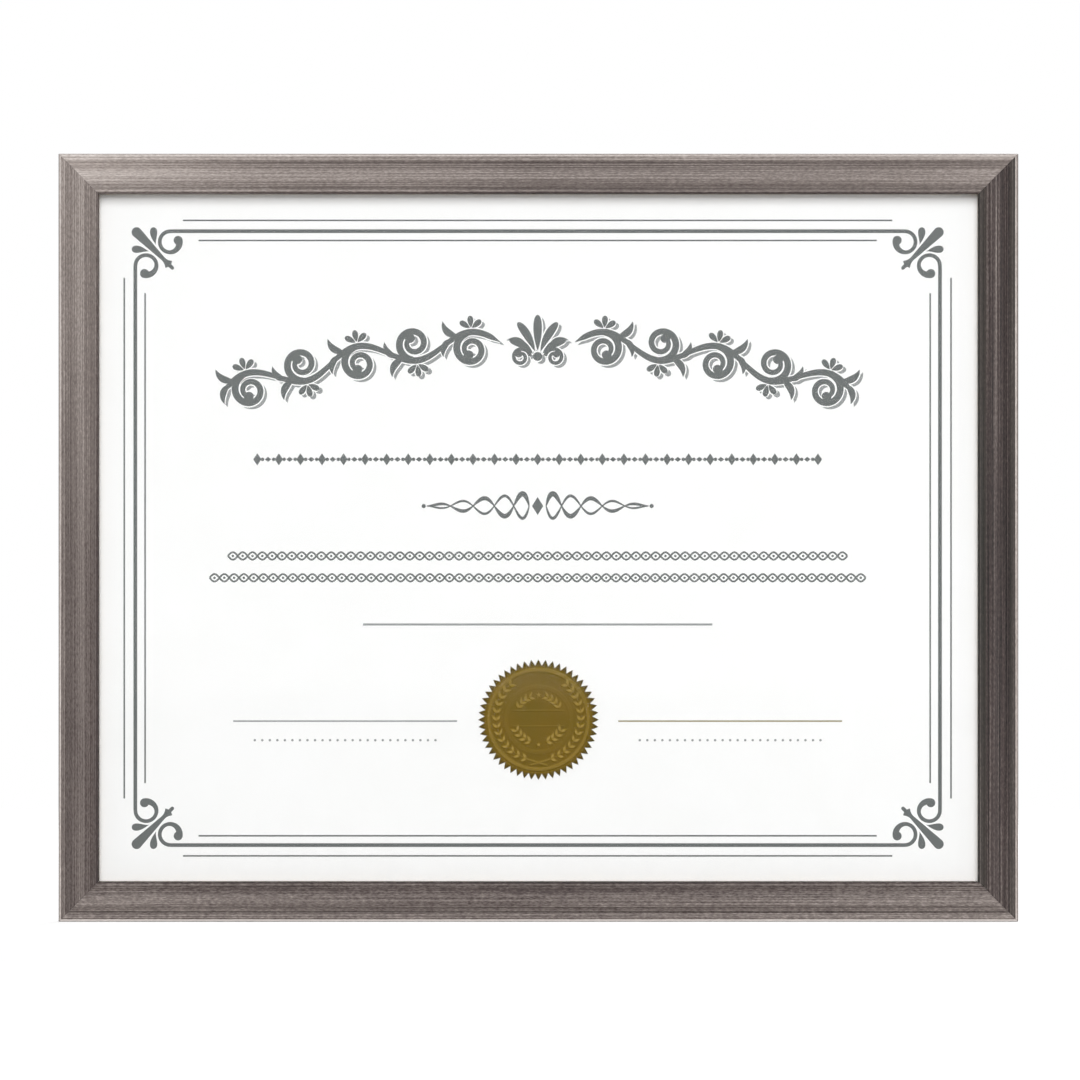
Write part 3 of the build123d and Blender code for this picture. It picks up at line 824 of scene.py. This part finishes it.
def stem(x, z, start, end):
    """Height of a straight embossed stem: it falls off with the distance from a line between two points."""
    start, run = np.array(start), np.subtract(end, start)
    share = np.clip(((x - start[0]) * run[0] + (z - start[1]) * run[1]) / (run @ run), 0, 1)
    distance = np.hypot(x - start[0] - share * run[0], z - start[1] - share * run[1])
    return np.exp(-(distance / STEM_SPREAD) ** 2)


def star(x, z, height):
    """Height of a five-pointed star: one less the distance to its faceted edge."""
    angle = np.arctan2(x, z - height)
    reach = np.hypot(x, z - height)
    fold = np.abs((angle + math.pi / 5) % (2 * math.pi / 5) - math.pi / 5)
    edge = STAR_RADIUS / np.cos(math.pi / 5 - fold) * (1 + 0.9 * (1 - fold / (math.pi / 5)))
    return np.clip(1.5 * (1 - reach / edge), 0, 1)


def seal_relief(x, z):
    """Embossing from 0 to 1: two rims, a laurel wreath, four sprigs, two stars and a plain band's edges."""
    radius = np.hypot(x, z)
    outer, inner = OUTER_RIM_HEIGHT * band(radius, *OUTER_RIM), INNER_RIM_HEIGHT * band(radius, *INNER_RIM)
    relief = np.maximum(outer, inner)
    for side in (-1, 1):
        for traits in BRANCHES:
            relief = np.maximum(relief, branch(side * x, z, **traits))
        relief = np.maximum(relief, STEM_HEIGHT * stem(side * x, z, *STEM_CROSSING))
    for height in STAR_HEIGHTS:
        relief = np.maximum(relief, star(x, z, height))
    for height in BAND_EDGES:
        line = np.exp(-((z - height) / BAND_SPREAD) ** 2) * (1 - smooth_step(np.abs(x), *BAND_FADE))
        relief = np.maximum(relief, BAND_HEIGHT * line)
    return relief


def foil_seal(finish):
    """A toothed disc on a polar grid: rings out to the field's edge, then out to a triangle wave of teeth."""
    ring = SEAL_TEETH * SAMPLES_PER_TOOTH
    angle = np.arange(ring) * 2 * math.pi / ring
    tooth = np.abs((np.arange(ring) / SAMPLES_PER_TOOTH) % 1 * 2 - 1)
    edge = SEAL_ROOT_RADIUS + (SEAL_TIP_RADIUS - SEAL_ROOT_RADIUS) * tooth
    field = np.linspace(SEAL_FIELD_RADIUS, 0, SEAL_RINGS + 1)[:-1, None] * np.ones(ring)
    teeth = SEAL_FIELD_RADIUS + np.array(TOOTH_RINGS)[:, None] * (edge - SEAL_FIELD_RADIUS)
    radius = np.concatenate([edge[None], teeth, field])
    x, z = radius * np.sin(angle), radius * np.cos(angle)
    ridge = TOOTH_RIDGE * tooth * band(radius, SEAL_ROOT_RADIUS, SEAL_TIP_RADIUS - TOOTH_FADE, TOOTH_FADE)
    relief = np.maximum(seal_relief(x, z), ridge)
    level = SEAL_HIGH[1] - SEAL_FOIL - SEAL_RELIEF * relief
    level[0] = SEAL_HIGH[1]
    points = np.stack([x + SEAL_CENTRE[0], level, z + SEAL_CENTRE[2]], axis=-1).reshape(-1, 3)
    poles = np.array([[SEAL_CENTRE[0], depth, SEAL_CENTRE[2]] for depth in (SEAL_HIGH[1], level[-1].mean())])
    shade = smooth_step(radius, SEAL_FIELD_RADIUS, SEAL_FIELD_RADIUS + TOOTH_SHADE_WIDTH)
    attributes = {"emboss": np.concatenate([relief.ravel(), [0, 0]]),
                  "tooth": np.concatenate([shade.ravel(), [0, 0]])}
    return add_piece("embossed_foil_seal", np.concatenate([points, poles]), dome_faces(len(radius), ring),
                     finish, attributes, ("foil_seal",), sharp=60)


# Finishes


class Value:
    """An output socket of a finish. Arithmetic on it adds Math nodes to that finish."""

    def __init__(self, finish, socket):
        self.finish = finish
        self.socket = socket

    def math(self, operation, first, second):
        return self.finish.node("ShaderNodeMath", {"operation": operation}, {0: first, 1: second})

    def __add__(self, other):
        return self.math("ADD", self, other)

    def __radd__(self, other):
        return self.math("ADD", other, self)

    def __sub__(self, other):
        return self.math("SUBTRACT", self, other)

    def __rsub__(self, other):
        return self.math("SUBTRACT", other, self)

    def __mul__(self, other):
        return self.math("MULTIPLY", self, other)

    def at_least(self, other):
        return self.math("MAXIMUM", self, other)

    def at_most(self, other):
        return self.math("MINIMUM", self, other)

    def share(self):
        """The value held between 0 and 1."""
        return self.at_least(0.0).at_most(1.0)


class Finish:
    """The node tree of a material: node() adds any node, and the rest are short names for common ones."""

    def __init__(self, name, owner=None):
        self.owner = owner or bpy.data.materials.new(name)
        self.owner.use_nodes = True
        self.tree = self.owner.node_tree
        self.tree.nodes.clear()

    def node(self, kind, settings=None, sockets=None, output=0):
        """Adds a node: its settings first, then values or links for its sockets. Returns one output."""
        made = self.tree.nodes.new(kind)
        for label, value in (settings or {}).items():
            if label == "stops":
                self.set_stops(made.color_ramp, value)
            else:
                setattr(made, label, value)
        for label, value in (sockets or {}).items():
            if isinstance(value, Value):
                self.tree.links.new(value.socket, made.inputs[label])
            else:
                made.inputs[label].default_value = value
        return Value(self, made.outputs[output]) if made.outputs else None

    @staticmethod
    def set_stops(color_ramp, stops):
        while len(color_ramp.elements) < len(stops):
            color_ramp.elements.new(1.0)
        for element, (place, colour) in zip(color_ramp.elements, stops):
            element.position = place
            element.color = colour

    def place(self):
        return self.node("ShaderNodeTexCoord", output="Object")

    def attribute(self, label, output="Fac"):
        return self.node("ShaderNodeAttribute", {"attribute_name": label}, output=output)

    def stretched(self, vector, scale):
        return self.node("ShaderNodeVectorMath", {"operation": "MULTIPLY"}, {0: vector, 1: scale})

    def noise(self, vector, scale=1.0, detail=2.0, roughness=0.5):
        """Noise about zero, from about -0.5 to 0.5."""
        sockets = {"Vector": vector, "Scale": scale, "Detail": detail, "Roughness": roughness}
        return self.node("ShaderNodeTexNoise", {}, sockets) - 0.5

    def ramp(self, value, stops):
        return self.node("ShaderNodeValToRGB", {"stops": stops}, {"Fac": value})

    def blend(self, share, first, second):
        sockets = {0: share, 6: first, 7: second}
        return self.node("ShaderNodeMix", {"data_type": "RGBA"}, sockets, output=2)

    def bump(self, height, distance):
        """A bump of so many millimetres for a height of one."""
        sockets = {"Height": height, "Distance": distance * MM, "Strength": 1.0}
        return self.node("ShaderNodeBump", {}, sockets)

    def surface(self, **sockets):
        """Finishes with a Principled surface, whose sockets are given by name with _ for a space."""
        named = {label.replace("_", " "): value for label, value in sockets.items()}
        return self.output(self.node("ShaderNodeBsdfPrincipled", {}, named))

    def output(self, shader):
        self.node("ShaderNodeOutputMaterial", {}, {"Surface": shader})
        return self.owner


def srgb(red, green, blue):
    """Linear colour of a colour given as it looks on a screen, 0 to 255."""
    share = np.array([red, green, blue]) / 255
    linear = np.where(share <= 0.04045, share / 12.92, ((share + 0.055) / 1.055) ** 2.4)
    return (*linear.tolist(), 1.0)


def weathered_wood():
    """Grey-taupe staining on brushed wood: fibres, lines, flecks, blots, quirks darkened by staining and
    painted shade, edges worn pale with a painted highlight, olive painted shade at the edges, bare back.
    """
    wood = Finish("weathered_wood")
    place = wood.attribute("grain_place", "Vector")
    fibre = wood.noise(wood.stretched(place, (0.008, 3.0, 3.0)), 1.0, 1.0, 0.6)
    streak = wood.noise(wood.stretched(place, (0.012, 0.6, 0.6)), 1.0, 2.0)
    cloud = wood.noise(wood.stretched(place, (0.015, 0.12, 0.12)))
    fleck = wood.noise(wood.stretched(place, (0.7, 2.2, 2.2)), 1.0, 2.0)
    blot = wood.noise(wood.stretched(place, (0.35, 0.55, 0.55)), 1.0, 1.0)
    line = wood.noise(wood.stretched(place, (0.005, 2.0, 2.0)), 1.0, 1.0)
    labels = ("groove", "stain", "wear", "raw", "tone", "figure", "lines")
    groove, stain, wear, raw, tone, figure, lines = (wood.attribute(label) for label in labels)
    grain = fibre * 0.22 + cloud * 0.15 + fleck * 0.35 + (0.4 - groove) * 0.16
    grain = grain + (fleck * 0.8 + blot) * figure + line * lines
    # Lightness carries painted light: the tone, the staining with painted shade and highlight, and the worn
    # pale edges with their painted highlight
    lightness = tone + grain - stain * 0.15 + wear * (0.72 - tone * 0.8)
    stained = wood.ramp(lightness.share(), (
        (0.0, srgb(22, 18, 17)), (0.25, srgb(73, 62, 60)), (0.5, srgb(129, 119, 114)),
        (0.75, srgb(188, 177, 171)), (1.0, srgb(240, 232, 227))))
    bare = wood.ramp((fibre * 0.6 + streak * 0.8 + 0.5).share(), (
        (0.2, srgb(158, 124, 84)), (0.55, srgb(193, 161, 117)), (0.85, srgb(214, 187, 148))))
    # Olive painted shade at both edges
    edge_shaded = wood.blend(wood.attribute("dull"), stained, srgb(62, 62, 55))
    colour = wood.blend(raw, edge_shaded, bare)
    roughness = 0.6 + fibre * 0.25 + groove * 0.12 - wear * 0.1 + raw * 0.12
    normal = wood.bump(fibre * 0.6 + fleck * 0.5, 0.03)
    return wood.surface(Base_Color=colour, Roughness=roughness, Normal=normal, Specular_IOR_Level=0.3)


def certificate_paper():
    """White uncoated paper: a faint cloudy tone and a fine fibre tooth."""
    paper = Finish("certificate_paper")
    place = paper.place()
    cloud = paper.noise(place, 60.0, 3.0)
    fibre = paper.noise(place, 2600.0, 2.0)
    tone = (cloud * 1.2 + fibre * 0.6 + 0.5).share()
    colour = paper.blend(tone, srgb(250, 250, 249), srgb(254, 254, 254))
    return paper.surface(Base_Color=colour, Roughness=0.85 + fibre * 0.1, Normal=paper.bump(fibre, 0.012),
                         Specular_IOR_Level=0.2)


def print_ink(name, colour, faded):
    """Matt printing ink, a little uneven where the paper takes it less."""
    ink = Finish(name)
    place = ink.place()
    uneven = (ink.noise(place, 1400.0, 2.0) * 1.5 + ink.noise(place, 90.0, 2.0) * 0.8 + 0.4).share()
    return ink.surface(Base_Color=ink.blend(uneven, colour, faded), Roughness=0.62 + uneven * 0.15,
                       Normal=ink.bump(uneven, 0.006), Specular_IOR_Level=0.25)


def gold_foil():
    """Embossed olive-gold foil: embossed parts painted lighter as a highlight, teeth painted darker as shade,
    with a satin crinkle.
    """
    foil = Finish("gold_foil")
    place = foil.place()
    emboss = foil.attribute("emboss")
    tooth = foil.attribute("tooth")
    crinkle = foil.noise(place, 900.0, 3.0)
    tarnish = foil.noise(place, 70.0, 3.0)
    field = foil.blend((tarnish * 1.8 + 0.45).share(), srgb(86, 70, 7), srgb(95, 73, 11))
    # Painted highlight: the embossed parts lighter
    raised_highlight = foil.blend((emboss * emboss * 1.1 + crinkle * 0.3).share(), field, srgb(140, 117, 52))
    # Painted shade: the teeth darker
    colour = foil.blend(tooth * 0.8, raised_highlight, srgb(60, 49, 12))
    return foil.surface(Base_Color=colour, Metallic=0.4, Roughness=0.52 + crinkle * 0.15 - emboss * 0.06,
                        Normal=foil.bump(crinkle, 0.01), Specular_IOR_Level=0.1)


def clear_glass():
    """A clear pane: see-through, with a faint mirror that grows towards the edge of sight."""
    pane = Finish("clear_glass")
    smear = pane.noise(pane.place(), 25.0, 3.0)
    mirror = pane.node("ShaderNodeFresnel", {}, {"IOR": 1.45}) * (0.12 + smear * 0.03)
    clear = pane.node("ShaderNodeBsdfTransparent", {}, {"Color": (0.998, 0.999, 0.9985, 1.0)})
    gloss = pane.node("ShaderNodeBsdfGlossy", {}, {"Roughness": 0.04})
    return pane.output(pane.node("ShaderNodeMixShader", {}, {0: mirror, 1: clear, 2: gloss}))


def fibre_board(name, dark, light, scale, rough):
    """Pressed board: fibres of two sizes over a cloudy tone."""
    board = Finish(name)
    place = board.place()
    cloud = board.noise(place, 18.0, 3.0)
    long_fibre = board.noise(board.stretched(place, (1.0, 1.0, 6.0)), scale, 3.0, 0.65)
    cross_fibre = board.noise(board.stretched(place, (5.0, 1.0, 1.0)), scale, 3.0, 0.65)
    fleck = (board.noise(place, 5.0 * scale, 2.0) * 4.0 - 0.5).share()
    share = (0.5 + cloud * 0.6 + long_fibre * 1.2 + cross_fibre * 1.2 - fleck * 0.35).share()
    return board.surface(Base_Color=board.blend(share, dark, light), Roughness=rough + cloud * 0.15,
                         Normal=board.bump(long_fibre + cross_fibre, 0.05), Specular_IOR_Level=0.3)


def rolled_steel(name, dark, light, roughness):
    """Plated sheet metal: rolling lines, a cloudy plate and a few fine scratches."""
    metal = Finish(name)
    place = metal.place()
    rolled = metal.noise(metal.stretched(place, (0.06, 1.0, 1.0)), 4200.0, 2.0)
    cloud = metal.noise(place, 320.0, 3.0)
    scratch = (metal.noise(metal.stretched(place, (1.0, 1.0, 0.05)), 2600.0, 1.0) * 6.0 - 1.3).share()
    share = (0.5 + cloud * 0.6 + rolled * 0.6 + scratch * 0.3).share()
    return metal.surface(Base_Color=metal.blend(share, dark, light), Metallic=1.0,
                         Roughness=roughness + cloud * 0.25 + rolled * 0.12 - scratch * 0.08,
                         Normal=metal.bump(rolled + scratch, 0.006))


def black_rubber():
    """Soft black rubber with a matt bloom and a fine moulded grain."""
    rubber = Finish("black_rubber")
    place = rubber.place()
    bloom = rubber.noise(place, 420.0, 3.0)
    grain = rubber.noise(place, 3800.0, 2.0)
    colour = rubber.blend((0.45 + bloom * 1.4).share(), srgb(30, 30, 31), srgb(54, 53, 52))
    return rubber.surface(Base_Color=colour, Roughness=0.68 + bloom * 0.2, Normal=rubber.bump(grain, 0.02))


def dress(finish, *nodes):
    """Gives CAD nodes a finish, in their own material slots."""
    for node in nodes:
        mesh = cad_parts[node].data
        mesh.materials.clear()
        mesh.materials.append(finish)


# Studio
FLOOR_RADIUS = 1300.0
FLOOR_FADE = 500.0
FLOOR_GAP = 0.05
FLOOR_RINGS = 24
FLOOR_SPOKES = 96
FLOOR_GLOW = 0.74
WORLD_FILL = 0.15
KEY_PLACE = (90.0, -5925.0, 2220.0)
KEY_SIZE = (2100.0, 2850.0)
KEY_POWER = 247.0
FRONT_PLACE = (0.0, -3900.0, 500.0)
FRONT_SIZE = (2800.0, 1300.0)
FRONT_POWER = 34.7
BACK_PLACE = (700.0, 1800.0, 1500.0)
BACK_SIZE = (900.0, 700.0)
BACK_POWER = 50.0


def seen_share(finish):
    """1 for rays from the camera, off a mirror or through glass, and 0 for those that only bring light."""
    path = [finish.node("ShaderNodeLightPath", output=label)
            for label in ("Is Camera Ray", "Is Glossy Ray", "Is Transmission Ray")]
    return path[0].at_least(path[1]).at_least(path[2])


def floor():
    """A pale disc under the frame, on rings out to its rim, that fades out and keeps the frame's shadow."""
    angle = np.arange(FLOOR_SPOKES) * 2 * math.pi / FLOOR_SPOKES
    radius = np.linspace(FLOOR_RADIUS, FLOOR_RADIUS / FLOOR_RINGS, FLOOR_RINGS)[:, None]
    level = np.full((FLOOR_RINGS, FLOOR_SPOKES), -OUTER_HEIGHT / 2 - FLOOR_GAP)
    points = np.stack([radius * np.cos(angle), radius * np.sin(angle), level], axis=-1)
    last_ring = np.arange(FLOOR_SPOKES) + (FLOOR_RINGS - 1) * FLOOR_SPOKES
    faces = ring_quads(FLOOR_RINGS, FLOOR_SPOKES) + [last_ring.tolist()]
    mesh = bpy.data.meshes.new("floor")
    mesh.from_pydata((points.reshape(-1, 3) * MM).tolist(), [], faces)
    pale = Finish("pale_floor")
    place = pale.place()
    reach = pale.node("ShaderNodeVectorMath", {"operation": "LENGTH"}, {0: place}, output="Value")
    fade = ((FLOOR_RADIUS * MM - reach) * (1 / (FLOOR_FADE * MM))).share()
    mottle = pale.noise(place, 40.0, 3.0)
    colour = pale.blend(mottle * 0.5 + 0.5, (0.53, 0.53, 0.53, 1), (0.57, 0.57, 0.57, 1))
    matt = pale.node("ShaderNodeBsdfDiffuse", {}, {"Color": colour})
    glow = pale.node("ShaderNodeEmission", {}, {"Strength": seen_share(pale) * FLOOR_GLOW})
    lit = pale.node("ShaderNodeAddShader", {}, {0: matt, 1: glow})
    clear = pale.node("ShaderNodeBsdfTransparent")
    mesh.materials.append(pale.output(pale.node("ShaderNodeMixShader", {}, {0: fade, 1: clear, 2: lit})))
    disc = bpy.data.objects.new("floor", mesh)
    bpy.context.scene.collection.objects.link(disc)


def lamp(name, place, size, power):
    """A soft rectangular lamp that faces the middle of the frame."""
    light = bpy.data.lights.new(name, "AREA")
    light.shape = "RECTANGLE"
    light.size, light.size_y = size[0] * MM, size[1] * MM
    light.energy = power
    holder = bpy.data.objects.new(name, light)
    holder.location = [MM * part for part in place]
    holder.rotation_euler = (-holder.location).to_track_quat("-Z", "Y").to_euler()
    bpy.context.scene.collection.objects.link(holder)


def studio():
    """White world, a key from the front and above, a wide lamp ahead, one for the back, and the camera."""
    world = bpy.data.worlds.new("studio")
    bpy.context.scene.world = world
    sky = Finish("studio", world)
    strength = seen_share(sky) * (1 - WORLD_FILL) + WORLD_FILL
    background = sky.node("ShaderNodeBackground", {}, {"Color": (1, 1, 1, 1), "Strength": strength})
    sky.node("ShaderNodeOutputWorld", {}, {"Surface": background})
    lamp("key", KEY_PLACE, KEY_SIZE, KEY_POWER)
    lamp("front", FRONT_PLACE, FRONT_SIZE, FRONT_POWER)
    lamp("back", BACK_PLACE, BACK_SIZE, BACK_POWER)
    camera = bpy.data.cameras.new("camera")
    camera.sensor_width = 36.0
    camera.lens = camera.sensor_width * CAMERA_DISTANCE / VIEW_WIDTH
    camera.clip_end = 20.0
    holder = bpy.data.objects.new("camera", camera)
    front = RAIL_LOW[1]
    holder.location = [MM * VIEW_OFFSET[0], MM * (front - CAMERA_DISTANCE), MM * VIEW_OFFSET[1]]
    holder.rotation_euler = (math.radians(90), 0, 0)
    bpy.context.scene.collection.objects.link(holder)
    bpy.context.scene.camera = holder
    bpy.context.scene.view_settings.view_transform = "Standard"


def build():
    """Makes the mouldings, print and seal, gives the other nodes their finish, and sets up the studio."""
    wood = weathered_wood()
    for name, traits in RAILS.items():
        rail(name, wood, **traits)

    grey = print_ink("grey_ink", srgb(98, 102, 101), srgb(108, 112, 111))
    light_grey = print_ink("light_grey_ink", srgb(146, 149, 149), srgb(158, 161, 160))
    gold = print_ink("gold_ink", srgb(150, 142, 108), srgb(160, 152, 120))
    blank = print_ink("blank_ink", srgb(250, 250, 249), srgb(254, 254, 254))
    vine = vine_half()
    title = arched(palmette() + vine + mirrored(vine, (-1, 1)))
    prints = {
        "border_rules": (border_rules(), grey, {}),
        "corner_scrolls": (corner_scrolls(), grey, {}),
        "leaf_scroll_shadow": (title, light_grey, {"shift": SHADOW_SHIFT, "levels": VINE_LEVELS}),
        "leaf_scroll_gap": (title, blank, {"widen": GAP_WIDTH, "levels": VINE_LEVELS}),
        "leaf_scroll": (title, grey, {"levels": VINE_LEVELS}),
        "lozenge_chain": (chain_row(), grey, {}),
        "flourish": (flourish(), grey, {}),
        "braid_rows": (braid_rows(), grey, {}),
        "writing_rules": (writing_rules(), light_grey, {}),
        "gold_rule": ([signing_rule(1)], gold, {}),
    }
    layers = {"leaf_scroll_gap": 2, "leaf_scroll": 3}
    for name, (strokes, ink, options) in prints.items():
        points, faces = ink_mesh(strokes, INK_HEIGHT * layers.get(name, 1), **options)
        add_piece(name, points, faces, ink)

    foil_seal(gold_foil())
    dress(clear_glass(), "glazing")
    dress(certificate_paper(), "certificate_sheet")
    card = fibre_board("filler_card", srgb(176, 160, 132), srgb(204, 190, 164), 700.0, 0.85)
    dress(card, "filler_board")
    hardboard = fibre_board("hardboard", srgb(86, 57, 36), srgb(134, 96, 64), 420.0, 0.7)
    dress(hardboard, "backing_board")
    buttons = [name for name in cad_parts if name.startswith("turn_button")]
    zinc = rolled_steel("zinc_steel", srgb(118, 122, 126), srgb(150, 153, 156), 0.38)
    dress(zinc, "corner_v_nails", *buttons)
    brassed = rolled_steel("brassed_steel", srgb(132, 104, 56), srgb(164, 134, 82), 0.34)
    dress(brassed, "sawtooth_hanger_landscape", "sawtooth_hanger_portrait", "hanger_nails")
    dress(black_rubber(), "wall_bumpers")
    floor()
    studio()


build()
